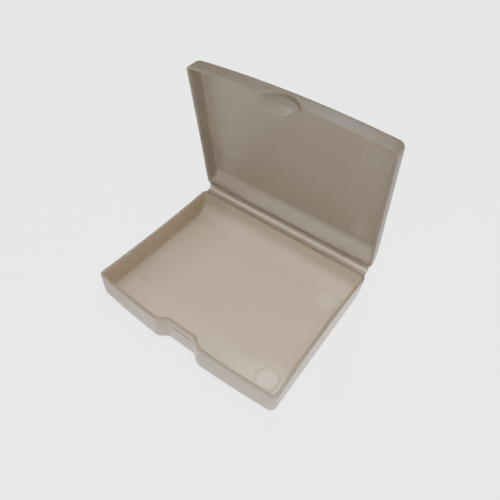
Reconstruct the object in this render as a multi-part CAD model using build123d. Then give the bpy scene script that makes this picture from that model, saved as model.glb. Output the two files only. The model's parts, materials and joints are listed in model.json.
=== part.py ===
from build123d import *
import math
import os

# Hinged box for small tackle, cards or spares, moulded in one shot from translucent
# polypropylene. A tray and a shallower lid are joined along their rear rims by a web that
# folds at a thin film. A tongue on the lid's front snaps over a bead in the tray's recess.
# The lid is drawn shut, then turned about the fold to the angle at which the box stands.
# Millimetres, +Z up. X runs along the hinge and the front is towards -Y. The origin is the
# centre of the tray's underside.

# Overall sizes
box_width = 96.0
box_depth = 75.0
tray_height = 14.0
lid_height = 8.2
opening_angle = 78.6

# Walls
wall_thickness = 1.5
floor_thickness = 1.2
draft_inset = 0.7

# The front walls bow out in the middle
front_bow = 2.2

# Rounds of the outer edges
tray_front_round = 2.8
tray_rear_round = 8.0
lid_front_round = 3.2
lid_rear_round = 6.6
corner_round = 2.6

# Tongue on the lid, and the scoop of the lid's front wall that it grows out of
scoop_depth = 1.3
scoop_half_width = 9.2
scoop_height = 4.6
scoop_flank_angle = 32.0
tongue_thickness = 1.1
tongue_root_half_width = 7.0
tongue_end_half_width = 5.2
tongue_end_round = 1.4
tongue_tip_margin = 0.6

# Snap: a bead on the tray's recess and a hook on the tongue that passes below it
bead_height = 0.5
bead_half_length = 4.4
bead_drop = 3.2
latch_clearance = 0.2

# Thumb recess in the tray's front wall, with S-shaped ramps at its ends
recess_floor_half_width = 7.2
recess_mouth_half_width = 10.6
recess_outer_round = 3.2
recess_inner_round = 2.4

# Hinge web: one leaf on each rim, joined by a film
web_half_width = 3.0
web_side_gap = 1.2
leaf_thickness = 1.1
leaf_relief = 0.9
film_thickness = 0.35
film_reach = 1.0
film_clearance = 0.1

# Round marks that the ejector pins leave inside
mark_radius = 5.4
mark_depth = 0.12
mark_side_inset = 10.0
tray_mark_insets = (12.0, 13.5)
lid_mark_insets = (15.0, 13.0)

# Sizes that follow
fold_y = box_depth / 2 + web_half_width
recess_depth = scoop_depth + tongue_thickness + bead_height + latch_clearance
hook_drop = bead_drop + 2 * bead_height + latch_clearance
tongue_length = hook_drop + bead_height + tongue_tip_margin
tongue_outer_y = -box_depth / 2 - front_bow + scoop_depth
tongue_inner_y = tongue_outer_y + tongue_thickness
past_rim = 2.0


def leaning_cut(body, rim_point, outwards, lean):
    # Keeps what lies inside a plane through the rim that leans in towards the floor
    normal = outwards.rotate(Axis((0, 0, 0), Vector(0, 0, 1).cross(outwards)), lean)
    return split(body, bisect_by=Plane(origin=rim_point, z_dir=normal), keep=Keep.BOTTOM)


class Shell:
    # An open box with its floor at the bottom. Inset counts inwards from the outer face.
    def __init__(self, height, front_round, rear_round, mark_insets, has_recess):
        self.height = height
        self.front_round = front_round
        self.rear_round = rear_round
        self.mark_insets = mark_insets
        self.has_recess = has_recess
        self.lean = math.degrees(math.atan2(draft_inset, height))

    def front_y(self, level, inset=0.0):
        # The middle of the front wall
        return -box_depth / 2 - front_bow + inset + draft_inset * (1 - level / self.height)

    def block(self, bottom, top, inset):
        # Flat drafted sides and rear, and a front cut from a wide cone, so that it bows
        upright = (Align.CENTER, Align.CENTER, Align.MIN)
        body = Pos(0, 0, bottom) * Box(2 * box_width, 2 * box_depth, top - bottom, align=upright)
        side_x = box_width / 2 - inset
        rear_y = box_depth / 2 - inset
        for x, y in ((side_x, 0), (-side_x, 0), (0, rear_y)):
            body = leaning_cut(body, (x, y, self.height), Vector(x, y).normalized(), self.lean)
        bow_radius = ((box_width / 2) ** 2 + front_bow**2) / (2 * front_bow)
        centre_y = bow_radius - box_depth / 2 - front_bow
        radii = [centre_y - self.front_y(level, inset) for level in (bottom, top)]
        return body & Pos(0, centre_y, bottom) * Cone(*radii, top - bottom, align=upright)

    def recess_cutter(self, inset):
        # It leans with the front wall. The inset widens and deepens it, so that the wall
        # behind it keeps its thickness.
        floor = recess_floor_half_width
        slope = (recess_mouth_half_width - floor) / recess_depth
        outside = recess_depth + past_rim
        reach = floor + outside * slope
        points = [(-floor, 0), (floor, 0), (reach, -outside), (-reach, -outside)]
        face = make_face(Polyline(*points, close=True))
        face = fillet(face.vertices().group_by(Axis.Y)[-1], recess_inner_round)
        if inset:
            face = offset(face, inset)
        prism = extrude(face, 2 * self.height, both=True)
        floor_y = self.front_y(self.height, recess_depth)
        return Pos(0, floor_y, self.height) * Rot(self.lean, 0, 0) * prism

    def knees(self, body, inset):
        # The upright edges at the mouth of the recess
        slack = wall_thickness + 1
        knee_y = self.front_y(0, inset + 1)
        return [
            edge
            for edge in body.edges()
            if abs(abs(edge.center().X) - recess_mouth_half_width) < slack
            and edge.length > self.height * 0.8
            and edge.center().Y < knee_y
        ]

    def solid(self, bottom, top, inset):
        # The block with its recess, its lower edges and its corners rounded
        body = self.block(bottom, top, inset)
        if self.has_recess:
            body -= self.recess_cutter(inset)
            body = fillet(self.knees(body, inset), recess_outer_round - inset)
        body = self.round_along(body, bottom, self.rear_round - inset, front=False)
        body = self.round_along(body, bottom, self.front_round - inset, front=True)
        side = box_width / 2 - inset - draft_inset - 0.5
        ends = [
            edge
            for edge in body.edges()
            if abs(edge.center().X) > side and edge.center().Z < top - 0.01
        ]
        return fillet(ends, corner_round - inset)

    def round_along(self, body, level, radius, front):
        edges = [
            edge
            for edge in body.edges()
            if abs(edge.center().Z - level) < 0.01
            and abs(edge.center().X) < box_width / 2 - wall_thickness - 3
            and (edge.center().Y < 0) == front
            and abs(edge.center().Y) > box_depth / 4
        ]
        return fillet(edges, radius)

    def outer(self):
        return self.solid(0, self.height, 0)

    def cavity(self):
        return self.solid(floor_thickness, self.height + past_rim, wall_thickness)

    def marks(self):
        disc = Cylinder(mark_radius, mark_depth, align=(Align.CENTER, Align.CENTER, Align.MAX))
        side = box_width / 2 - mark_side_inset
        front_inset, rear_inset = self.mark_insets
        depths = (front_inset - box_depth / 2, box_depth / 2 - rear_inset)
        places = [(x, y) for x in (-side, side) for y in depths]
        return [Pos(x, y, floor_thickness) * disc for x, y in places]


def bead_along_x(half_length, radius):
    # A round bead along X that runs out to points at its ends
    bead = Rot(0, 90, 0) * Cylinder(radius, 2 * half_length)
    tip = Cone(radius, radius / 3, 1.5 * radius, align=(Align.CENTER, Align.CENTER, Align.MIN))
    for side in (-1, 1):
        bead += Pos(side * half_length, 0, 0) * Rot(0, side * 90, 0) * tip
    return bead


def profile_along_x(points, half_length):
    # A closed outline given as (y, z) points, extruded to both sides
    face = make_face(Polyline(*[(0, y, z) for y, z in points], close=True))
    return extrude(face, half_length, dir=(1, 0, 0), both=True)


def make_tray(shell):
    tray = shell.outer() - shell.cavity()
    for mark in shell.marks():
        tray -= mark
    return tray


def scoop_cutter(shell, grow):
    # Arc-topped notch in the lid's front wall, cut from the front down to the rim
    def opening(y, spread):
        half_width = scoop_half_width - scoop_depth * flank + spread
        height = scoop_height - scoop_depth * flank + spread
        rim = shell.height
        foot = [Vector(-half_width, y, rim), Vector(half_width, y, rim)]
        below = Vector(0, 0, past_rim)
        edges = [
            ThreePointArc(foot[0], Vector(0, y, rim - height), foot[1]),
            Line(foot[1], foot[1] + below),
            Line(foot[1] + below, foot[0] + below),
            Line(foot[0] + below, foot[0]),
        ]
        return make_face(edges)

    flank = math.tan(math.radians(scoop_flank_angle))
    reach = scoop_depth + front_bow + grow
    floor_y = tongue_outer_y + grow
    return loft([opening(floor_y, grow), opening(floor_y - reach, grow + reach * flank)])


def make_lid(shell):
    outer = shell.outer() - scoop_cutter(shell, 0)
    cavity = shell.cavity() - scoop_cutter(shell, wall_thickness)
    lid = outer - cavity
    for mark in shell.marks():
        lid -= mark
    return lid


def make_tongue(rim_level):
    root = tongue_root_half_width
    end = tongue_end_half_width
    points = [(-root, 0), (-end, -tongue_length), (end, -tongue_length), (root, 0)]
    face = make_face(Polyline(*[(x, 0, z) for x, z in points], close=True))
    plate = extrude(face, tongue_thickness, dir=(0, 1, 0))
    corners = plate.edges().filter_by(Axis.Y).group_by(Axis.Z)[0]
    plate = fillet(corners, tongue_end_round)
    return Pos(0, tongue_outer_y, rim_level) * plate


def make_leaf(shell_solid, side):
    # side is -1 for the leaf below the rim plane and 1 for the one above it
    end = fold_y - film_reach - (film_clearance if side > 0 else 0)
    root = box_depth / 2 - wall_thickness / 2
    points = [(root, 0), (end, 0), (end, side * film_thickness)]
    points += [(end - leaf_relief, side * leaf_thickness), (root, side * leaf_thickness)]
    points = [(y, tray_height + z) for y, z in points]
    return profile_along_x(points, box_width / 2 - web_side_gap) - shell_solid


def make_film():
    # The film in its bent state: it turns by what the lid lacks of lying flat
    turn = 180 - opening_angle
    radius = film_reach / math.tan(math.radians(turn / 2))
    centre = Vector(0, fold_y - film_reach, tray_height + radius)

    def at(distance, angle):
        angle = math.radians(angle - 90)
        return centre + Vector(0, distance * math.cos(angle), distance * math.sin(angle))

    outside = radius + film_thickness
    edges = [
        ThreePointArc(at(radius, 0), at(radius, turn / 2), at(radius, turn)),
        Line(at(radius, turn), at(outside, turn)),
        ThreePointArc(at(outside, turn), at(outside, turn / 2), at(outside, 0)),
        Line(at(outside, 0), at(radius, 0)),
    ]
    half_length = box_width / 2 - web_side_gap
    return extrude(make_face(edges), half_length, dir=(1, 0, 0), both=True)


tray_shell = Shell(tray_height, tray_front_round, tray_rear_round, tray_mark_insets, True)
lid_shell = Shell(lid_height, lid_front_round, lid_rear_round, lid_mark_insets, False)

# Tray and what is moulded on it
tray = make_tray(tray_shell)
bead_level = tray_height - bead_drop
bead_y = tray_shell.front_y(bead_level, recess_depth)
bead = Pos(0, bead_y, bead_level) * bead_along_x(bead_half_length, bead_height)
tray_leaf = make_leaf(tray_shell.outer(), -1)

# Lid, drawn shut: its panel is on top and its rim meets the tray's
turn_over = Pos(0, 0, tray_height + lid_height) * Rot(0, 180, 0)
lid = turn_over * make_lid(lid_shell)
lid_leaf = make_leaf(turn_over * lid_shell.outer(), 1)
tongue = make_tongue(tray_height)
hook = Pos(0, tongue_inner_y, tray_height - hook_drop) * bead_along_x(bead_half_length, bead_height)
hook -= tongue

open_lid = Pos(0, fold_y, tray_height) * Rot(-opening_angle, 0, 0) * Pos(0, -fold_y, -tray_height)

nodes = {
    "base_tray": tray,
    "catch_bead": bead - tray_shell.outer(),
    "base_hinge_leaf": tray_leaf,
    "hinge_film": make_film(),
    "lid_hinge_leaf": open_lid * lid_leaf,
    "lid_shell": open_lid * lid,
    "latch_tongue": open_lid * tongue,
    "latch_hook": open_lid * hook,
}

os.makedirs("parts", exist_ok=True)
for name, solid in nodes.items():
    export_step(solid, f"parts/{name}.step")
    print(name, "volume", round(solid.volume, 1), "mm3")
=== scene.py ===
import bpy
import bmesh
import json
import math
from mathutils import Matrix, Vector


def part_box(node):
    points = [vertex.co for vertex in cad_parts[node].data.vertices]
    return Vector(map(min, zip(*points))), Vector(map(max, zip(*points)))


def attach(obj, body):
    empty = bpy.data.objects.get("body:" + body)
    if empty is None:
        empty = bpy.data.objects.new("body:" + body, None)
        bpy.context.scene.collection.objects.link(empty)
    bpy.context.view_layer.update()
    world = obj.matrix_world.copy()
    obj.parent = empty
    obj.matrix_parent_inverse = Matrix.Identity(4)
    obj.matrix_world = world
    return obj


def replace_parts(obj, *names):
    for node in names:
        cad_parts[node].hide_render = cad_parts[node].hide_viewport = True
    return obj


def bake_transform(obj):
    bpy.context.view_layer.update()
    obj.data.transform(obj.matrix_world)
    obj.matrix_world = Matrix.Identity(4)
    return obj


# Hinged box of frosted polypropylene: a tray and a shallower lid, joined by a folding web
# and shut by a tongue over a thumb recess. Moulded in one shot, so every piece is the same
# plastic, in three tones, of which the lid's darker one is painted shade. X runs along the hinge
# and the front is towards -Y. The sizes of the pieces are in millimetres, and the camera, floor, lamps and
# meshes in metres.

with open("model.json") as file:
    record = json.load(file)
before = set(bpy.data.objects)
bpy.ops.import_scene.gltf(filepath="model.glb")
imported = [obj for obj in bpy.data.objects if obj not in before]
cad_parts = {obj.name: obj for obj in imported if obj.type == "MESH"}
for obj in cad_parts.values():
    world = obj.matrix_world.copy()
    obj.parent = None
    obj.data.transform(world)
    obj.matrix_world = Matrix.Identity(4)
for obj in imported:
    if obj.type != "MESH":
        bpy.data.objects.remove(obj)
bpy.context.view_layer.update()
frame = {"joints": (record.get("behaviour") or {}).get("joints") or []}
print("frame loaded")

mm = 0.001
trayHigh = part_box("base_tray")[1]
lidHinge = next(joint for joint in frame["joints"] if joint["name"] == "lid_hinge")
fold = Vector(lidHinge["pos_m"])
openingAngle = math.radians(-lidHinge["range_deg"][0])

# What tray and lid share
box = {
    "halfWidth": trayHigh.x / mm,
    "halfDepth": trayHigh.y / mm,
    "wall": 1.5,
    "floor": 1.2,
    "cornerRound": 2.6,
    "edgeRound": 0.35,      # of the rim's two edges
    "rimGap": 0.04,         # between the rims when shut, so that no faces coincide
    "draft": 0.7,           # that the walls lean in from the rim to the floor
    "recessFloor": 6.2,     # half widths of the tray's recess, between which its ramps run
    "recessMouth": 11.9,
    "rampShift": 0.39,      # of the ramps outwards on the inner skin, as a share of the wall
    "scoopRadius": 11.5,    # of the lid's scoop
    "scoopRise": 4.6,       # of its arc above the rims when shut
    "scoopFlank": 0.9,      # over which its edge slopes
    "stiffFront": 6.0,      # behind the front, that moves as the front wall does
    "floorGives": 24.0,     # behind the front, where the floor no longer moves
    "markRadius": 5.1,      # ejector pins
    "markDepth": 0.2,
    "markX": 38.0,
    "markEdge": ((0.12, 0.0), (0.04, 0.075), (-0.06, 0.9), (-0.16, 1.0)),   # way out, share of depth
    "markInner": 0.6,       # ring inside the mark, as a share of its radius
}

tray = {
    "height": trayHigh.z / mm,
    "frontRound": 2.8,
    "rearRound": 8.0,
    "rimBow": 1.9,          # of the front wall at the rim
    "floorBow": 2.6,
    "sideSag": 0.8,         # of the side rims towards the inside
    "recessDepth": 3.1,
    "scoopDepth": 0.0,
    "markY": (-26.0, 23.6),
}

lid = {
    "height": 8.2,
    "frontRound": 3.2,
    "rearRound": 6.6,
    "rimBow": 1.9,
    "floorBow": 2.6,
    "sideSag": 0.2,
    "recessDepth": 0.0,
    "scoopDepth": 1.3,
    "markY": (-22.5, 24.9),
}


# Nodes and colours

def linearColor(hexText, alpha=1.0):
    # sRGB hex to linear RGBA
    channels = [int(hexText[i:i + 2], 16) / 255 for i in (1, 3, 5)]
    linear = [c / 12.92 if c <= 0.04045 else ((c + 0.055) / 1.055) ** 2.4 for c in channels]
    return (*linear, alpha)


def openSocket(sockets, name):
    # The socket of that name or number, past those that the node's settings have shut off
    if isinstance(name, int):
        return sockets[name]
    return next(socket for socket in sockets if socket.name == name and socket.enabled)


def addNode(tree, kind, values=None, links=None, **settings):
    # One node with its settings, its fixed inputs and what is plugged into it
    node = tree.nodes.new(kind)
    for name, value in settings.items():
        setattr(node, name, value)
    for name, value in (values or {}).items():
        openSocket(node.inputs, name).default_value = value
    for name, source in (links or {}).items():
        tree.links.new(source, openSocket(node.inputs, name))
    return node


# Camera

camera = {
    "azimuth": 35.31,       # degrees from the hinge's square view, towards the right side
    "elevation": 43.33,
    "roll": 2.74,
    "distance": 0.23349,
    "target": (-0.01568, 0.02036, 0.0284),
    "focalPixels": 497.24,  # in the photograph's frame of 500 pixels
    "framePixels": 500,
    "centre": (234.58, 212.72),
    "sensorWidth": 36,      # mm
    "clipStart": 0.01,
}


def makeCamera(c):
    azimuth, elevation, roll = (math.radians(c[k]) for k in ("azimuth", "elevation", "roll"))
    back = Vector((math.sin(azimuth) * math.cos(elevation),
                   -math.cos(azimuth) * math.cos(elevation), math.sin(elevation)))
    right = Vector((math.cos(azimuth), math.sin(azimuth), 0))
    up = back.cross(right)
    rolledRight = right * math.cos(roll) + up * math.sin(roll)
    rolledUp = up * math.cos(roll) - right * math.sin(roll)
    data = bpy.data.cameras.new("camera")
    data.sensor_width = c["sensorWidth"]
    data.sensor_fit = "HORIZONTAL"
    data.lens = c["sensorWidth"] * c["focalPixels"] / c["framePixels"]
    data.shift_x = (c["framePixels"] / 2 - c["centre"][0]) / c["framePixels"]
    data.shift_y = (c["centre"][1] - c["framePixels"] / 2) / c["framePixels"]
    data.clip_start = c["clipStart"]
    obj = bpy.data.objects.new("camera", data)
    bpy.context.collection.objects.link(obj)
    turn = Matrix((rolledRight, rolledUp, back)).transposed().to_4x4()
    obj.matrix_world = Matrix.Translation(Vector(c["target"]) + back * c["distance"]) @ turn
    bpy.context.scene.camera = obj


makeCamera(camera)
print("camera placed")


# Floor and light

studio = {
    "floorColor": "#f4f3f1",
    "floorRoughness": 0.9,
    "floorSize": 4.0,
    "floorDrop": 0.2 * mm,  # below the box, because two faces in one plane render as blotches
    "glowColor": "#ffffff",
    # Painted pool of light: the sheet glows more strongly in a patch under the box than around it, and this
    # shows through the plastic.
    "glowUnder": 1.8,       # the box stands on a lit sheet, which shows through the plastic
    "glowAround": 0.4,
    "glowSeen": 2.6,        # of the sheet itself in the picture
    "glowMiddle": (0.013, 0.01),    # of the lit patch
    "glowHalf": (0.034, 0.04),      # half its sides
    "glowFade": 0.035,      # over which it falls off around the lit patch
    "skyColor": "#ffffff",
    "skyStrength": 0.12,
    "backdropStrength": 1.8,    # of the sky where the camera looks past the sheet
}

# The key hangs over the box, and the fill reaches its upright walls from the front. The lid's
# front wall mirrors the low window, and the tray's front corner the panes of the high one.
lamps = {
    "key": {"power": 7.5, "size": (0.5, 0.5), "place": (0.2, -0.1, 0.8), "color": "#fffaf2"},
    "fill": {"power": 3.8, "size": (0.6, 0.3), "place": (0.05, -0.95, 0.32), "color": "#fffaf2"},
    "lowWindow": {"power": 3.0, "size": (0.3, 0.06), "place": (-0.34, 0.9, 1.385), "color": "#d4e0ff"},
    "leftPane": {"power": 2.0, "size": (0.07, 0.13), "place": (-0.53, 0.9, 1.84), "color": "#fff6ea"},
    "middlePane": {"power": 2.0, "size": (0.07, 0.13), "place": (-0.43, 0.9, 1.86), "color": "#fff6ea"},
    "rightPane": {"power": 2.0, "size": (0.07, 0.13), "place": (-0.33, 0.9, 1.88), "color": "#fff6ea"},
}


def glowShare(tree, s):
    # 1 on the lit patch of the sheet, falling to 0 around it
    place = addNode(tree, "ShaderNodeTexCoord").outputs["Object"]
    xyz = addNode(tree, "ShaderNodeSeparateXYZ", None, {0: place}).outputs
    shares = []
    for axis, (middle, reach) in enumerate(zip(s["glowMiddle"], s["glowHalf"])):
        off = addNode(tree, "ShaderNodeMath", {1: middle}, {0: xyz[axis]}, operation="SUBTRACT")
        away = addNode(tree, "ShaderNodeMath", None, {0: off.outputs[0]}, operation="ABSOLUTE")
        edge = reach + s["glowFade"]
        share = addNode(tree, "ShaderNodeMapRange",
                        {"From Min": reach, "From Max": edge, "To Min": 1.0, "To Max": 0.0},
                        {"Value": away.outputs[0]}, interpolation_type="SMOOTHSTEP")
        shares.append(share.outputs["Result"])
    both = addNode(tree, "ShaderNodeMath", None, {0: shares[0], 1: shares[1]}, operation="MULTIPLY")
    return both.outputs[0]


def makePaper(s):
    paper = bpy.data.materials.new("matt_paper")
    paper.use_nodes = True
    tree = paper.node_tree
    shader = tree.nodes["Principled BSDF"]
    shader.inputs["Base Color"].default_value = linearColor(s["floorColor"])
    shader.inputs["Roughness"].default_value = s["floorRoughness"]
    shader.inputs["Emission Color"].default_value = linearColor(s["glowColor"])
    # Painted pool of light: the sheet's glow is stronger on the patch under the box than around it.
    glow = addNode(tree, "ShaderNodeMapRange", {"To Min": s["glowAround"], "To Max": s["glowUnder"]},
                   {"Value": glowShare(tree, s)})
    seen = addNode(tree, "ShaderNodeLightPath").outputs["Is Camera Ray"]
    strength = addNode(tree, "ShaderNodeMix", {"B": s["glowSeen"]},
                       {"Factor": seen, "A": glow.outputs["Result"]})
    tree.links.new(openSocket(strength.outputs, "Result"), shader.inputs["Emission Strength"])
    return paper


def makeFloor(s):
    half, z = s["floorSize"] / 2, -s["floorDrop"]
    mesh = bpy.data.meshes.new("floor")
    mesh.from_pydata([(-half, -half, z), (half, -half, z), (half, half, z), (-half, half, z)], [],
                     [(0, 1, 2, 3)])
    mesh.materials.append(makePaper(s))
    floor = bpy.data.objects.new("floor", mesh)
    bpy.context.collection.objects.link(floor)


def makeSky(s):
    world = bpy.data.worlds.new("studio")
    world.use_nodes = True
    tree = world.node_tree
    sky = tree.nodes["Background"]
    sky.inputs["Color"].default_value = linearColor(s["skyColor"])
    seen = addNode(tree, "ShaderNodeLightPath").outputs["Is Camera Ray"]
    strength = addNode(tree, "ShaderNodeMapRange",
                       {"To Min": s["skyStrength"], "To Max": s["backdropStrength"]}, {"Value": seen})
    tree.links.new(strength.outputs["Result"], sky.inputs["Strength"])
    bpy.context.scene.world = world


def makeLamp(name, lamp):
    data = bpy.data.lights.new(name, "AREA")
    data.shape = "RECTANGLE"
    data.energy = lamp["power"]
    data.size, data.size_y = lamp["size"]
    data.color = linearColor(lamp["color"])[:3]
    obj = bpy.data.objects.new(name, data)
    bpy.context.collection.objects.link(obj)
    obj.location = lamp["place"]
    obj.rotation_euler = Vector(lamp["place"]).to_track_quat("Z", "Y").to_euler()


makeFloor(studio)
makeSky(studio)
for lampName, lamp in lamps.items():
    makeLamp(lampName, lamp)
print("floor and light placed")


# Materials

# Polypropylene without pigment, injection moulded against a satin mould. It is milky: light
# comes through, but no sharp image, and it is warm grey where it lies over itself.
polypropylene = {
    "color": "#aa9c89",
    "hazeColor": "#b0a392",
    "whitened": "#c4b9ac",  # where the plastic has been bent or stretched
    "haze": 28.0,           # mm across a cloud of haze
    "flow": (1.0, 0.4, 0.4),    # squeezes the pattern, so that the clouds are drawn out along the flow
    "ior": 1.49,
    "transmission": 0.5,
    "milk": 6.0,            # mm that light spreads inside
    "milkColor": (1.0, 0.97, 0.92),
    "smooth": 0.43,         # roughness where the mould was polished best, and least
    "satin": 0.5,
    "polish": 30.0,         # mm across a patch of the mould's polish
    "polishRange": (0.3, 0.7),  # of the noise, from the best polish to the least
    "skin": 0.2,            # the thin glossy skin that such a moulding has
    "skinRoughness": 0.14,
    "ripple": 11.0,         # mm across the shallow waves that shrinking leaves
    "rippleHeight": 0.05,
}


def makePolypropylene(name, p, whitening=None):
    material = bpy.data.materials.new(name)
    material.use_nodes = True
    tree = material.node_tree
    shader = tree.nodes["Principled BSDF"]
    shader.inputs["IOR"].default_value = p["ior"]
    shader.inputs["Transmission Weight"].default_value = p["transmission"]
    shader.inputs["Subsurface Weight"].default_value = 1.0
    shader.inputs["Subsurface Radius"].default_value = p["milkColor"]
    shader.inputs["Subsurface Scale"].default_value = p["milk"] * mm
    shader.inputs["Coat Weight"].default_value = p["skin"]
    shader.inputs["Coat Roughness"].default_value = p["skinRoughness"]
    place = addNode(tree, "ShaderNodeTexCoord").outputs["Object"]

    # Haze: the flow of the melt leaves it a little lighter in long clouds
    along = addNode(tree, "ShaderNodeMapping", {"Scale": p["flow"]}, {"Vector": place})
    haze = addNode(tree, "ShaderNodeTexNoise", {"Scale": 1 / (p["haze"] * mm), "Detail": 3.0},
                   {"Vector": along.outputs["Vector"]})
    body = addNode(tree, "ShaderNodeMix", {"A": linearColor(p["color"]), "B": linearColor(p["hazeColor"])},
                   {"Factor": haze.outputs["Fac"]}, data_type="RGBA")
    color = openSocket(body.outputs, "Result")
    if whitening:
        stress = addNode(tree, "ShaderNodeAttribute", attribute_name=whitening)
        blush = addNode(tree, "ShaderNodeMix", {"B": linearColor(p["whitened"])},
                        {"Factor": stress.outputs["Fac"], "A": color}, data_type="RGBA")
        color = openSocket(blush.outputs, "Result")
    tree.links.new(color, shader.inputs["Base Color"])

    # Polish: patches of the mould are smoother than others
    patches = addNode(tree, "ShaderNodeTexNoise", {"Scale": 1 / (p["polish"] * mm), "Detail": 2.0},
                      {"Vector": place})
    best, least = p["polishRange"]
    rough = addNode(tree, "ShaderNodeMapRange",
                    {"From Min": best, "From Max": least, "To Min": p["smooth"], "To Max": p["satin"]},
                    {"Value": patches.outputs["Fac"]})
    tree.links.new(rough.outputs["Result"], shader.inputs["Roughness"])

    # Ripple: no moulded wall is quite flat, and the gloss wavers with it
    waves = addNode(tree, "ShaderNodeTexNoise", {"Scale": 1 / (p["ripple"] * mm), "Detail": 0.0},
                    {"Vector": place})
    bent = addNode(tree, "ShaderNodeBump", {"Strength": 1.0, "Distance": p["rippleHeight"] * mm},
                   {"Height": waves.outputs["Fac"]})
    tree.links.new(bent.outputs["Normal"], shader.inputs["Coat Normal"])
    return material


# The lid is drawn a shade darker than the tray, with less gloss: its darker colour is painted
# shade, as the lid looks when less light comes through it. The web is stretched as it
# folds, and lets less light through.
lidShadedPolypropylene = {**polypropylene, "color": "#90877a", "hazeColor": "#958c80", "skin": 0.1}
webPolypropylene = {**polypropylene, "color": "#aa9f91", "hazeColor": "#aea396",
                    "whitened": "#b8ad9f", "transmission": 0.3, "milk": 1.5}
plastic = makePolypropylene("moulded_polypropylene", polypropylene)
lidShadedPlastic = makePolypropylene("moulded_polypropylene_lid_painted_shade", lidShadedPolypropylene)
webPlastic = makePolypropylene("folded_polypropylene", webPolypropylene, "whitening")
print("materials made")


# Shape of tray and lid: an upright open box is built first, and a rule then gives it its
# draft, bow, sag, recess and scoop

steps = {
    "wall": 12,             # rows down the front wall
    "frontArc": 7,
    "rearArc": 10,
    "corner": 6,
    "mark": 12,             # cells on each side of a mark's square
    "markMargin": 0.5,      # mm from the mark to its square
    "floorRows": (3, 10, 2),    # before, between and behind the marks
    "floorColumns": (6, 3),     # from the fine cells to a mark, and from there to the corner
    "fineHalfWidth": 12.75, # mm, across the recess
    "fineCells": 50,
    "rim": 4,               # rings of each of the rim's rounded edges
}


def between(start, end, count):
    # Evenly spaced values from start up to but without end
    return [start + (end - start) * i / count for i in range(count)]


def columnList():
    # Across the box: (side, x, angle round the corner)
    flatX = box["halfWidth"] - box["cornerRound"]
    reach = box["markRadius"] + steps["markMargin"]
    fine = steps["fineHalfWidth"]
    stops = [fine, box["markX"] - reach, box["markX"] + reach, flatX]
    beside, beyond = steps["floorColumns"]
    half = []
    for start, end, count in zip(stops, stops[1:], (beside, steps["mark"], beyond)):
        half += between(start, end, count)
    middle = between(-fine, fine, steps["fineCells"])
    flats = [-x for x in reversed(half + [flatX])] + middle[1:] + half + [flatX]
    turns = [math.pi / 2 * i / steps["corner"] for i in range(1, steps["corner"] + 1)]
    left = [(-1, -flatX, a) for a in reversed(turns)]
    right = [(1, flatX, a) for a in turns]
    return left + [(0, x, 0.0) for x in flats] + right


def rowList(shape):
    # From the front rim, down, across the floor and up to the rear rim
    rows = [("front", t) for t in between(0, 1, steps["wall"])]
    rows += [("frontArc", t) for t in between(0, 1, steps["frontArc"])]
    reach = box["markRadius"] + steps["markMargin"]
    near, far = shape["markY"]
    stops = [shape["frontRound"] - box["halfDepth"], near - reach, near + reach, far - reach,
             far + reach, box["halfDepth"] - shape["rearRound"]]
    before, amid, behind = steps["floorRows"]
    counts = (before, steps["mark"], amid, steps["mark"], behind)
    for start, end, count in zip(stops, stops[1:], counts):
        rows += [("floor", y) for y in between(start, end, count)]
    rows += [("rearArc", t) for t in between(0, 1, steps["rearArc"])]
    rearWall = steps["wall"] + steps["frontArc"] - steps["rearArc"]
    return rows + [("rear", t) for t in between(0, 1, rearWall)] + [("rear", 1.0)]


def sectionPoint(shape, skin, row, pull):
    # (y, z) on the lengthwise section, drawn inwards where the corner rounds off
    kind, t = row
    inset, level, top = skin["inset"], skin["level"], skin["top"]
    frontRadius = shape["frontRound"] - inset
    rearRadius = shape["rearRound"] - inset
    frontY = inset - box["halfDepth"]
    rearY = box["halfDepth"] - inset
    angle = t * math.pi / 2
    if kind == "front":
        return frontY + pull, top + (level + frontRadius - top) * t
    if kind == "frontArc":
        radius = frontRadius - pull
        return (frontY + frontRadius - radius * math.cos(angle),
                level + frontRadius - radius * math.sin(angle))
    if kind == "floor":
        return t, level + pull
    if kind == "rearArc":
        radius = rearRadius - pull
        return (rearY - rearRadius + radius * math.sin(angle),
                level + rearRadius - radius * math.cos(angle))
    return rearY - pull, level + rearRadius + (top - level - rearRadius) * t


def skinPoint(shape, skin, row, column):
    side, x, angle = column
    radius = box["cornerRound"] - skin["inset"]
    y, z = sectionPoint(shape, skin, row, radius * (1 - math.cos(angle)))
    return Vector((x + side * radius * math.sin(angle), y, z))


def skinGrid(bm, shape, skin, rows, columns):
    # The bent middle of one skin, with both of its side walls
    grid = [[bm.verts.new(skinPoint(shape, skin, row, column)) for column in columns]
            for row in rows]
    last = len(rows) - 1
    climb = steps["wall"] + steps["frontArc"]
    sides = []
    for edge in (0, -1):
        wall = [[None] * (last - 2 * climb + 1) for _ in range(climb + 1)]
        for v in range(climb + 1):
            wall[v][0] = grid[climb - v][edge]
            wall[v][-1] = grid[last - climb + v][edge]
        for u in range(len(wall[0])):
            wall[0][u] = grid[climb + u][edge]
        corners = [wall[j][i].co for j in (0, -1) for i in (0, -1)]
        for v in range(1, climb + 1):
            for u in range(1, len(wall[0]) - 1):
                s, t = u / (len(wall[0]) - 1), v / climb
                top = corners[2].lerp(corners[3], s)
                upright = wall[v][0].co.lerp(wall[v][-1].co, s)
                across = wall[0][u].co.lerp(top, t)
                flat = corners[0].lerp(corners[1], s).lerp(top, t)
                wall[v][u] = bm.verts.new(upright + across - flat)
        sides.append(wall)
    return grid, sides


def gridFaces(bm, grid, skipped=()):
    for j in range(len(grid) - 1):
        for i in range(len(grid[0]) - 1):
            if (j, i) not in skipped:
                bm.faces.new((grid[j][i], grid[j][i + 1], grid[j + 1][i + 1], grid[j + 1][i]))


def bridge(bm, ringA, ringB):
    for k in range(len(ringA)):
        n = (k + 1) % len(ringA)
        bm.faces.new((ringA[k], ringA[n], ringB[n], ringB[k]))


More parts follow.
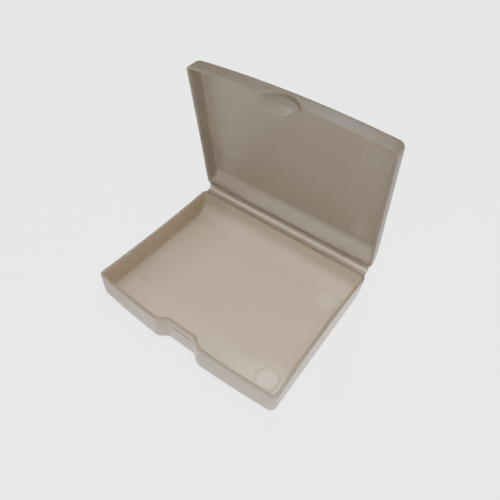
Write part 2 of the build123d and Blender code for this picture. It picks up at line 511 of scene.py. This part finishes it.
def rimLoop(grid, sides):
    # Once round the opening: front, right side, rear, left side
    left, right = sides
    loop = list(grid[0]) + right[-1][1:-1] + list(reversed(grid[-1]))
    return loop + list(reversed(left[-1][1:-1]))


def squareCorner(rows, columns, shape, x, y):
    # First row and column of the square that holds a mark
    reach = box["markRadius"] + steps["markMargin"]
    row = min((abs(t - (y - reach)), j) for j, (kind, t) in enumerate(rows) if kind == "floor")[1]
    column = min((abs(c[1] - (x - reach)), i) for i, c in enumerate(columns) if c[0] == 0)[1]
    return row, column


def addMark(bm, grid, row, column):
    # The round, slightly sunk flat that an ejector pin leaves, set into a square of the floor
    n = steps["mark"]
    loop = [grid[row][column + i] for i in range(n)]
    loop += [grid[row + i][column + n] for i in range(n)]
    loop += [grid[row + n][column + n - i] for i in range(n)]
    loop += [grid[row + n - i][column] for i in range(n)]
    centre = (grid[row][column].co + grid[row + n][column + n].co) / 2
    radius, depth = box["markRadius"], box["markDepth"]
    rings = [(radius + outwards, depth * share) for outwards, share in box["markEdge"]]
    rings.append((radius * box["markInner"], depth))
    firstCorner = math.radians(225)
    for ringRadius, drop in rings:
        ring = []
        for k in range(4 * n):
            angle = firstCorner + 2 * math.pi * k / (4 * n)
            spoke = Vector((math.cos(angle), math.sin(angle), 0)) * ringRadius
            ring.append(bm.verts.new(centre + spoke - Vector((0, 0, drop))))
        bridge(bm, loop, ring)
        loop = ring
    bm.faces.new(loop)


def uprightBox(name, shape):
    # Outer skin, rounded rim and inner skin as one closed mesh
    bm = bmesh.new()
    insetLayer = bm.verts.layers.float.new("inset")
    rows, columns = rowList(shape), columnList()
    edge = box["edgeRound"]
    outerSkin = {"inset": 0.0, "level": 0.0, "top": shape["height"] - edge}
    innerSkin = {"inset": box["wall"], "level": box["floor"], "top": shape["height"] - edge}
    outer, outerSides = skinGrid(bm, shape, outerSkin, rows, columns)
    gridFaces(bm, outer)
    for wall in outerSides:
        gridFaces(bm, wall)
    loop = rimLoop(outer, outerSides)
    turns = [math.pi / 2 * i / steps["rim"] for i in range(1, steps["rim"] + 1)]
    rings = [(edge * (1 - math.cos(a)), shape["height"] - edge * (1 - math.sin(a))) for a in turns]
    rings += [(box["wall"] - inset, z) for inset, z in reversed(rings)]
    for inset, z in rings:
        probe = bmesh.new()
        skin = {"inset": inset, "level": box["floor"] * inset / box["wall"], "top": z}
        level = rimLoop(*skinGrid(probe, shape, skin, rows, columns))
        ring = [bm.verts.new(vert.co) for vert in level]
        probe.free()
        for vert in ring:
            vert[insetLayer] = inset * mm
        bridge(bm, loop, ring)
        loop = ring
    before = len(bm.verts)
    inner, innerSides = skinGrid(bm, shape, innerSkin, rows, columns)
    bridge(bm, loop, rimLoop(inner, innerSides))
    skipped = set()
    for x in (-box["markX"], box["markX"]):
        for y in shape["markY"]:
            row, column = squareCorner(rows, columns, shape, x, y)
            skipped |= {(row + j, column + i) for j in range(steps["mark"]) for i in range(steps["mark"])}
            addMark(bm, inner, row, column)
    gridFaces(bm, inner, skipped)
    for wall in innerSides:
        gridFaces(bm, wall)
    bm.verts.ensure_lookup_table()
    for vert in bm.verts[before:]:
        vert[insetLayer] = box["wall"] * mm
    loose = [vert for vert in bm.verts if not vert.link_faces]
    bmesh.ops.delete(bm, geom=loose, context="VERTS")
    bmesh.ops.recalc_face_normals(bm, faces=bm.faces)
    bmesh.ops.scale(bm, vec=(mm, mm, mm), verts=bm.verts)
    mesh = bpy.data.meshes.new(name)
    bm.to_mesh(mesh)
    bm.free()
    obj = bpy.data.objects.new(name, mesh)
    bpy.context.collection.objects.link(obj)
    return obj


def mouldRule():
    # Moves each point of the upright box to where the moulded one has it
    tree = bpy.data.node_groups.new("mould_rule", "GeometryNodeTree")
    names = ["Height", "Half width", "Half depth", "Draft", "Side sag", "Rim bow", "Floor bow",
             "Recess depth", "Recess floor", "Recess mouth", "Scoop depth", "Scoop radius",
             "Scoop rise", "Scoop flank", "Stiff front", "Floor gives"]
    tree.interface.new_socket("Geometry", in_out="INPUT", socket_type="NodeSocketGeometry")
    for name in names:
        tree.interface.new_socket(name, in_out="INPUT", socket_type="NodeSocketFloat")
    tree.interface.new_socket("Material", in_out="INPUT", socket_type="NodeSocketMaterial")
    tree.interface.new_socket("Geometry", in_out="OUTPUT", socket_type="NodeSocketGeometry")
    size = addNode(tree, "NodeGroupInput").outputs
    mathNode = "ShaderNodeMath"
    place = addNode(tree, "GeometryNodeInputPosition")
    xyz = addNode(tree, "ShaderNodeSeparateXYZ", None, {0: place.outputs[0]}).outputs
    inset = addNode(tree, "GeometryNodeInputNamedAttribute", {"Name": "inset"}).outputs["Attribute"]

    # Shares of the height, width and depth
    level = addNode(tree, mathNode, None, {0: xyz[2], 1: size["Height"]}, operation="DIVIDE").outputs[0]
    across = addNode(tree, mathNode, None, {0: xyz[0], 1: size["Half width"]}, operation="DIVIDE").outputs[0]
    along = addNode(tree, mathNode, None, {0: xyz[1], 1: size["Half depth"]}, operation="DIVIDE").outputs[0]

    # Draft: the walls come in towards the floor
    down = addNode(tree, mathNode, {0: 1.0}, {1: level}, operation="SUBTRACT").outputs[0]
    draft = addNode(tree, mathNode, None, {0: down, 1: size["Draft"]}, operation="MULTIPLY").outputs[0]
    draftY = addNode(tree, mathNode, None, {0: along, 1: draft}, operation="MULTIPLY").outputs[0]

    # Sag: the side rims come in between the corners
    alongSquared = addNode(tree, mathNode, {1: 2.0}, {0: along}, operation="POWER").outputs[0]
    middle = addNode(tree, mathNode, {0: 1.0}, {1: alongSquared}, operation="SUBTRACT").outputs[0]
    sagShare = addNode(tree, mathNode, None, {0: middle, 1: level}, operation="MULTIPLY").outputs[0]
    drawnIn = addNode(tree, mathNode, None, {0: sagShare, 1: size["Side sag"], 2: draft},
                      operation="MULTIPLY_ADD").outputs[0]
    shiftX = addNode(tree, mathNode, None, {0: across, 1: drawnIn}, operation="MULTIPLY").outputs[0]
    newX = addNode(tree, mathNode, None, {0: xyz[0], 1: shiftX}, operation="SUBTRACT").outputs[0]

    # Bow of the front, more at the floor than at the rim
    bow = addNode(tree, "ShaderNodeMapRange", None, {"Value": level, "To Min": size["Floor bow"],
                                                     "To Max": size["Rim bow"]}).outputs[0]
    acrossSquared = addNode(tree, mathNode, {1: 2.0}, {0: across}, operation="POWER").outputs[0]
    arch = addNode(tree, mathNode, {0: 1.0}, {1: acrossSquared}, operation="SUBTRACT").outputs[0]
    bowOut = addNode(tree, mathNode, None, {0: bow, 1: arch}, operation="MULTIPLY").outputs[0]

    # Recess: its ramps lie further out on the inner skin, so that the wall keeps its thickness
    width = addNode(tree, mathNode, None, {0: xyz[0]}, operation="ABSOLUTE").outputs[0]
    rampX = addNode(tree, mathNode, {1: -box["rampShift"]}, {0: inset, 2: width},
                    operation="MULTIPLY_ADD").outputs[0]
    recess = addNode(tree, "ShaderNodeMapRange", {"To Max": 0.0},
                     {"Value": rampX, "From Min": size["Recess floor"],
                      "From Max": size["Recess mouth"], "To Min": size["Recess depth"]},
                     interpolation_type="SMOOTHSTEP").outputs[0]

    # Scoop: a circle whose centre lies beyond the rim
    crown = addNode(tree, mathNode, None, {0: size["Height"], 1: size["Scoop rise"]},
                    operation="SUBTRACT").outputs[0]
    centreZ = addNode(tree, mathNode, None, {0: crown, 1: size["Scoop radius"]}, operation="ADD").outputs[0]
    above = addNode(tree, mathNode, None, {0: centreZ, 1: xyz[2]}, operation="SUBTRACT").outputs[0]
    spoke = addNode(tree, "ShaderNodeCombineXYZ", None, {"X": xyz[0], "Z": above}).outputs[0]
    distance = addNode(tree, "ShaderNodeVectorMath", None, {0: spoke}, operation="LENGTH").outputs["Value"]
    grown = addNode(tree, mathNode, None, {0: distance, 1: inset}, operation="SUBTRACT").outputs[0]
    flankFoot = addNode(tree, mathNode, None, {0: size["Scoop radius"], 1: size["Scoop flank"]},
                        operation="SUBTRACT").outputs[0]
    scoop = addNode(tree, "ShaderNodeMapRange", {"To Max": 0.0},
                    {"Value": grown, "From Min": flankFoot, "From Max": size["Scoop radius"],
                     "To Min": size["Scoop depth"]}, interpolation_type="SMOOTHSTEP").outputs[0]

    # The front wall moves as a whole, and the floor behind it gives way
    fromFront = addNode(tree, mathNode, None, {0: xyz[1], 1: size["Half depth"]}, operation="ADD").outputs[0]
    share = addNode(tree, "ShaderNodeMapRange", {"To Min": 1.0, "To Max": 0.0},
                    {"Value": fromFront, "From Min": size["Stiff front"], "From Max": size["Floor gives"]},
                    interpolation_type="SMOOTHSTEP").outputs[0]
    inwards = addNode(tree, mathNode, None, {0: recess, 1: scoop}, operation="ADD").outputs[0]
    net = addNode(tree, mathNode, None, {0: inwards, 1: bowOut}, operation="SUBTRACT").outputs[0]
    drafted = addNode(tree, mathNode, None, {0: xyz[1], 1: draftY}, operation="SUBTRACT").outputs[0]
    newY = addNode(tree, mathNode, None, {0: net, 1: share, 2: drafted}, operation="MULTIPLY_ADD").outputs[0]

    moved = addNode(tree, "ShaderNodeCombineXYZ", None, {"X": newX, "Y": newY, "Z": xyz[2]}).outputs[0]
    shaped = addNode(tree, "GeometryNodeSetPosition", None,
                     {"Geometry": size["Geometry"], "Position": moved})
    smooth = addNode(tree, "GeometryNodeSetShadeSmooth", None, {"Geometry": shaped.outputs[0]})
    real = addNode(tree, "GeometryNodeRealizeInstances", None, {"Geometry": smooth.outputs[0]})
    painted = addNode(tree, "GeometryNodeSetMaterial", None,
                      {"Geometry": real.outputs[0], "Material": size["Material"]})
    addNode(tree, "NodeGroupOutput", None, {0: painted.outputs[0]})
    return tree


def setInput(modifier, tree, name, value):
    item = next(i for i in tree.interface.items_tree if i.name == name and i.in_out == "INPUT")
    modifier[item.identifier] = value


def settle(obj):
    # Turns what the modifiers make into the object's own mesh
    bpy.context.view_layer.update()
    evaluated = obj.evaluated_get(bpy.context.evaluated_depsgraph_get())
    mesh = bpy.data.meshes.new_from_object(evaluated)
    obj.modifiers.clear()
    obj.data = mesh


rule = mouldRule()


def makeShell(name, shape, place, material):
    obj = uprightBox(name, shape)
    modifier = obj.modifiers.new("mould", "NODES")
    modifier.node_group = rule
    inputs = {
        "Height": shape["height"], "Half width": box["halfWidth"], "Half depth": box["halfDepth"],
        "Draft": box["draft"], "Side sag": shape["sideSag"], "Rim bow": shape["rimBow"],
        "Floor bow": shape["floorBow"], "Recess depth": shape["recessDepth"],
        "Recess floor": box["recessFloor"], "Recess mouth": box["recessMouth"],
        "Scoop depth": shape["scoopDepth"], "Scoop radius": box["scoopRadius"],
        "Scoop rise": box["scoopRise"], "Scoop flank": box["scoopFlank"],
        "Stiff front": box["stiffFront"], "Floor gives": box["floorGives"],
    }
    for inputName, value in inputs.items():
        setInput(modifier, rule, inputName, value * mm)
    setInput(modifier, rule, "Material", material)
    settle(obj)
    obj.data.transform(place)
    obj.data.update()
    return obj


lidTop = (tray["height"] + box["rimGap"] + lid["height"]) * mm
turnOver = Matrix.Translation((0, 0, lidTop)) @ Matrix.Rotation(math.pi, 4, "Y")
openLid = Matrix.Translation(fold) @ Matrix.Rotation(-openingAngle, 4, "X") @ Matrix.Translation(-fold)

trayShell = makeShell("tray", tray, Matrix.Identity(4), plastic)
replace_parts(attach(trayShell, "base"), "base_tray")
lidShell = makeShell("lid", lid, openLid @ turnOver, lidShadedPlastic)
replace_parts(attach(lidShell, "lid"), "lid_shell")
print("tray and lid made,", len(trayShell.data.polygons), "and", len(lidShell.data.polygons), "faces")


# Snap: a bead on the tray's recess wall, and a hook on the tongue that passes below it

bead = {
    "radius": 0.3,
    "seat": 0.05,           # that its flat is let into the wall
    "halfLength": 4.4,
    "runOut": 0.9,          # over which its ends taper
    "tip": 0.3,             # share of the radius that is left at the ends
    "drop": 3.2,            # below the rim
    "segments": 20,
    "stations": 49,         # along it
}


def beadRule():
    # A half-round bar along X whose ends run out, with its flat towards the wall
    tree = bpy.data.node_groups.new("snap_bead", "GeometryNodeTree")
    for name in ("Half length", "Radius", "Run out", "Tip"):
        tree.interface.new_socket(name, in_out="INPUT", socket_type="NodeSocketFloat")
    tree.interface.new_socket("Material", in_out="INPUT", socket_type="NodeSocketMaterial")
    tree.interface.new_socket("Geometry", in_out="OUTPUT", socket_type="NodeSocketGeometry")
    size = addNode(tree, "NodeGroupInput").outputs
    mathNode = "ShaderNodeMath"
    reach = addNode(tree, mathNode, None, {0: size["Half length"], 1: size["Run out"]},
                    operation="ADD").outputs[0]
    start = addNode(tree, mathNode, {1: -1.0}, {0: reach}, operation="MULTIPLY").outputs[0]
    ends = [addNode(tree, "ShaderNodeCombineXYZ", None, {"X": x}).outputs[0] for x in (start, reach)]
    line = addNode(tree, "GeometryNodeCurvePrimitiveLine", None, {"Start": ends[0], "End": ends[1]})
    fine = addNode(tree, "GeometryNodeResampleCurve", {"Count": bead["stations"]},
                   {"Curve": line.outputs[0]})
    place = addNode(tree, "GeometryNodeInputPosition")
    xyz = addNode(tree, "ShaderNodeSeparateXYZ", None, {0: place.outputs[0]}).outputs
    far = addNode(tree, mathNode, None, {0: xyz[0]}, operation="ABSOLUTE").outputs[0]
    taper = addNode(tree, "ShaderNodeMapRange", {"To Min": 1.0},
                    {"Value": far, "From Min": size["Half length"], "From Max": reach,
                     "To Max": size["Tip"]}, interpolation_type="SMOOTHSTEP").outputs[0]
    arc = addNode(tree, "GeometryNodeCurveArc",
                  {"Resolution": bead["segments"], "Start Angle": -math.pi / 2, "Sweep Angle": math.pi},
                  {"Radius": size["Radius"]})
    section = addNode(tree, "GeometryNodeSetSplineCyclic", {"Cyclic": True}, {"Geometry": arc.outputs[0]})
    bar = addNode(tree, "GeometryNodeCurveToMesh", {"Fill Caps": True},
                  {"Curve": fine.outputs[0], "Profile Curve": section.outputs[0], "Scale": taper})
    smooth = addNode(tree, "GeometryNodeSetShadeSmooth", None, {"Geometry": bar.outputs[0]})
    real = addNode(tree, "GeometryNodeRealizeInstances", None, {"Geometry": smooth.outputs[0]})
    painted = addNode(tree, "GeometryNodeSetMaterial", None,
                      {"Geometry": real.outputs[0], "Material": size["Material"]})
    addNode(tree, "NodeGroupOutput", None, {0: painted.outputs[0]})
    return tree


barRule = beadRule()


def makeBead(name, place, material):
    obj = bpy.data.objects.new(name, bpy.data.meshes.new(name))
    bpy.context.collection.objects.link(obj)
    modifier = obj.modifiers.new("bead", "NODES")
    modifier.node_group = barRule
    inputs = {"Half length": bead["halfLength"] * mm, "Radius": bead["radius"] * mm,
              "Run out": bead["runOut"] * mm, "Tip": bead["tip"], "Material": material}
    for inputName, value in inputs.items():
        setInput(modifier, barRule, inputName, value)
    settle(obj)
    obj.data.transform(place)
    obj.data.update()
    return obj


def frontY(shape, z):
    # Middle of a front wall's outer face at a height above that shell's floor, without its recess
    level = z / shape["height"]
    bow = shape["floorBow"] + (shape["rimBow"] - shape["floorBow"]) * level
    return -box["halfDepth"] - bow + box["draft"] * (1 - level)


beadZ = tray["height"] - bead["drop"]
beadPlace = Vector((0, frontY(tray, beadZ) + tray["recessDepth"] + bead["seat"], beadZ)) * mm
catchBead = makeBead("catch_bar", Matrix.Translation(beadPlace), plastic)
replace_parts(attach(catchBead, "base"), "catch_bead")


# Tongue: it grows out of the scoop and narrows to its end. Drawn with the lid shut, with the
# depth below the rim counting downwards.

tongue = {
    "thickness": 1.1,
    "proud": 0.1,           # of the scoop's floor, so that no seam shows
    "rootHalfWidth": 7.0,
    "endHalfWidth": 5.2,
    "length": 5.5,
    "arcRadius": 10.65,     # of its upper outline, inside the scoop
    "arcCentre": 6.9,       # its depth below the rim
    "rootRound": 1.2,
    "endRound": 1.4,
    "edgeRound": 0.18,
    "hookDrop": 4.4,        # below the rim
    "bend": 2.5,            # below the rim, over which it bends as it snaps
    "arcStart": 0.02,       # share of the arc that its flat crown leaves out
    "leastHalfWidth": 0.02, # so that no ring closes up at the middle
    "arcRows": 12,
    "rows": 26,
    "endRows": 8,
    "edgeRows": 4,
}


def finishMesh(bm, name, material):
    # From millimetres to a smooth piece in metres, its faces outwards
    bmesh.ops.recalc_face_normals(bm, faces=bm.faces)
    bmesh.ops.scale(bm, vec=(mm, mm, mm), verts=bm.verts)
    mesh = bpy.data.meshes.new(name)
    bm.to_mesh(mesh)
    bm.free()
    mesh.shade_smooth()
    mesh.materials.append(material)
    obj = bpy.data.objects.new(name, mesh)
    bpy.context.collection.objects.link(obj)
    return obj


def tongueOutline():
    # (half width, depth) from the top of its arc to its end
    t = tongue
    top = t["arcCentre"] - t["arcRadius"]
    points = []
    for share in between(t["arcStart"], 1.0, t["arcRows"]):
        depth = top * (1 - share * share)
        points.append((math.sqrt(t["arcRadius"] ** 2 - (depth - t["arcCentre"]) ** 2), depth))
    taper = (t["rootHalfWidth"] - t["endHalfWidth"]) / t["length"]
    flare = math.sqrt(t["arcRadius"] ** 2 - t["arcCentre"] ** 2) - t["rootHalfWidth"]
    turn = t["length"] - t["endRound"]
    for depth in between(0.0, turn, t["rows"]) + [turn]:
        root = max(0.0, 1 - depth / t["rootRound"])
        points.append((t["rootHalfWidth"] - taper * depth + flare * root * root, depth))
    for i in range(1, t["endRows"] + 1):
        angle = math.pi / 2 * i / t["endRows"]
        depth = turn + t["endRound"] * math.sin(angle)
        points.append((t["rootHalfWidth"] - taper * depth - t["endRound"] * (1 - math.cos(angle)), depth))
    return points


def drawnInside(points, inset):
    # The outline moved inwards, square to itself
    moved = []
    for i, (x, depth) in enumerate(points):
        before, after = points[max(i - 1, 0)], points[min(i + 1, len(points) - 1)]
        run, fall = after[0] - before[0], after[1] - before[1]
        length = math.hypot(run, fall)
        halfWidth = max(x - inset * fall / length, tongue["leastHalfWidth"])
        moved.append((halfWidth, depth + inset * run / length))
    return moved


def plateMesh(name, outline, front, back, edge, material):
    # A plate with rounded edges, symmetrical about X = 0, between two upright planes
    bm = bmesh.new()
    turns = [math.pi / 2 * i / tongue["edgeRows"] for i in range(tongue["edgeRows"] + 1)]
    levels = [(edge * (1 - math.sin(a)), front + edge * (1 - math.cos(a))) for a in turns]
    levels += [(inset, back - (y - front)) for inset, y in reversed(levels)]
    rings = []
    for inset, y in levels:
        points = drawnInside(outline, inset)
        loop = [bm.verts.new((x, y, tray["height"] - depth)) for x, depth in points]
        loop += [bm.verts.new((-x, y, tray["height"] - depth)) for x, depth in reversed(points)]
        rings.append(loop)
    for ringA, ringB in zip(rings, rings[1:]):
        bridge(bm, ringA, ringB)
    for ring in (rings[0], rings[-1]):
        for i in range(len(outline) - 1):
            bm.faces.new((ring[i], ring[i + 1], ring[-2 - i], ring[-1 - i]))
    return finishMesh(bm, name, material)


tongueFront = frontY(lid, lid["height"]) + lid["scoopDepth"] - tongue["proud"]
tongueBack = tongueFront + tongue["thickness"]
tonguePlate = plateMesh("tongue", tongueOutline(), tongueFront, tongueBack, tongue["edgeRound"],
                        lidShadedPlastic)
tonguePlate.data.transform(openLid)
tonguePlate.data.update()
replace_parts(tonguePlate, "latch_tongue")
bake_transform(tonguePlate)

hookPlace = Vector((0, tongueBack - bead["seat"], tray["height"] - tongue["hookDrop"])) * mm
facingBack = Matrix.Rotation(math.pi, 4, "Z")
hook = makeBead("hook_bar", openLid @ Matrix.Translation(hookPlace) @ facingBack, lidShadedPlastic)
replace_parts(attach(hook, "latch"), "latch_hook")
print("tongue, hook and bead made")


# Web: a leaf on each rear rim, and the thin film between them that folds

web = {
    "halfLength": 46.8,
    "root": 36.9,           # inside the rear walls
    "end": 39.5,            # where the film begins
    "leaf": 1.04,           # thickness
    "relief": 0.9,          # over which a leaf thins to the film
    "film": 0.35,
    "below": 0.06,          # the rim planes, so that no faces coincide
    "endRound": 0.3,
    "endSwell": (0.55, 0.82),   # share of the thickness at the very end and a third of the round in
    "reliefRows": 6,
    "filmRows": 18,
    "whiteRows": 3,         # over which the whitening fades into each leaf
    "spans": 24,
}


def webSection():
    # Pairs of (y, z) points on the inner and the outer face, from the tray to the lid
    w = web
    inner = tray["height"] - w["below"]
    pairs = [((w["root"], inner), (w["root"], inner - w["leaf"]))]
    for i in range(w["reliefRows"] + 1):
        share = i / w["reliefRows"]
        y = w["end"] - w["relief"] * (1 - share)
        thickness = w["leaf"] + (w["film"] - w["leaf"]) * (1 - math.cos(math.pi * share)) / 2
        pairs.append(((y, inner), (y, inner - thickness)))
    lidPairs = []
    for pair in reversed(pairs):
        shut = [Vector((0, y, 2 * tray["height"] - z)) * mm for y, z in pair]
        lidPairs.append(tuple(((openLid @ p).y / mm, (openLid @ p).z / mm) for p in shut))
    turn = math.pi - openingAngle
    chord = math.dist(pairs[-1][0], lidPairs[0][0])
    radius = chord / (2 * math.sin(turn / 2))
    film = []
    for i in range(1, w["filmRows"]):
        angle = turn * i / w["filmRows"] - math.pi / 2
        film.append(tuple((w["end"] + r * math.cos(angle), inner + radius + r * math.sin(angle))
                          for r in (radius, radius + w["film"])))
    return pairs + film + lidPairs


def makeWeb():
    bm = bmesh.new()
    stress = bm.verts.layers.float.new("whitening")
    section = webSection()
    w = web
    full = w["halfLength"] - w["endRound"]
    tip, near = w["endSwell"]
    rightEnd = [(full, 1.0), (w["halfLength"] - w["endRound"] / 3, near), (w["halfLength"], tip)]
    stations = [(-x, swell) for x, swell in reversed(rightEnd)]
    stations += [(x, 1.0) for x in between(-full, full, w["spans"])[1:]] + rightEnd
    leafRows = w["reliefRows"] + 2
    whole = len(section) - 1
    rings = []
    for x, swell in stations:
        faces = ([], [])
        for i, (inner, outer) in enumerate(section):
            middle = [(a + b) / 2 for a, b in zip(inner, outer)]
            rowsAway = max(leafRows - 1 - i, i - whole + leafRows - 1, 0)
            bent = max(0.0, 1 - rowsAway / w["whiteRows"])
            for side, point in zip(faces, (inner, outer)):
                y, z = (m + (p - m) * swell for m, p in zip(middle, point))
                vert = bm.verts.new((x, y, z))
                vert[stress] = bent
                side.append(vert)
        rings.append(faces[0] + list(reversed(faces[1])))
    for ringA, ringB in zip(rings, rings[1:]):
        bridge(bm, ringA, ringB)
    for ring in (rings[0], rings[-1]):
        for i in range(len(section) - 1):
            bm.faces.new((ring[i], ring[i + 1], ring[-2 - i], ring[-1 - i]))
    return finishMesh(bm, "web", webPlastic)


webPiece = makeWeb()
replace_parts(webPiece, "base_hinge_leaf", "hinge_film", "lid_hinge_leaf")
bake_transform(webPiece)
print("web made,", len(webPiece.data.polygons), "faces")
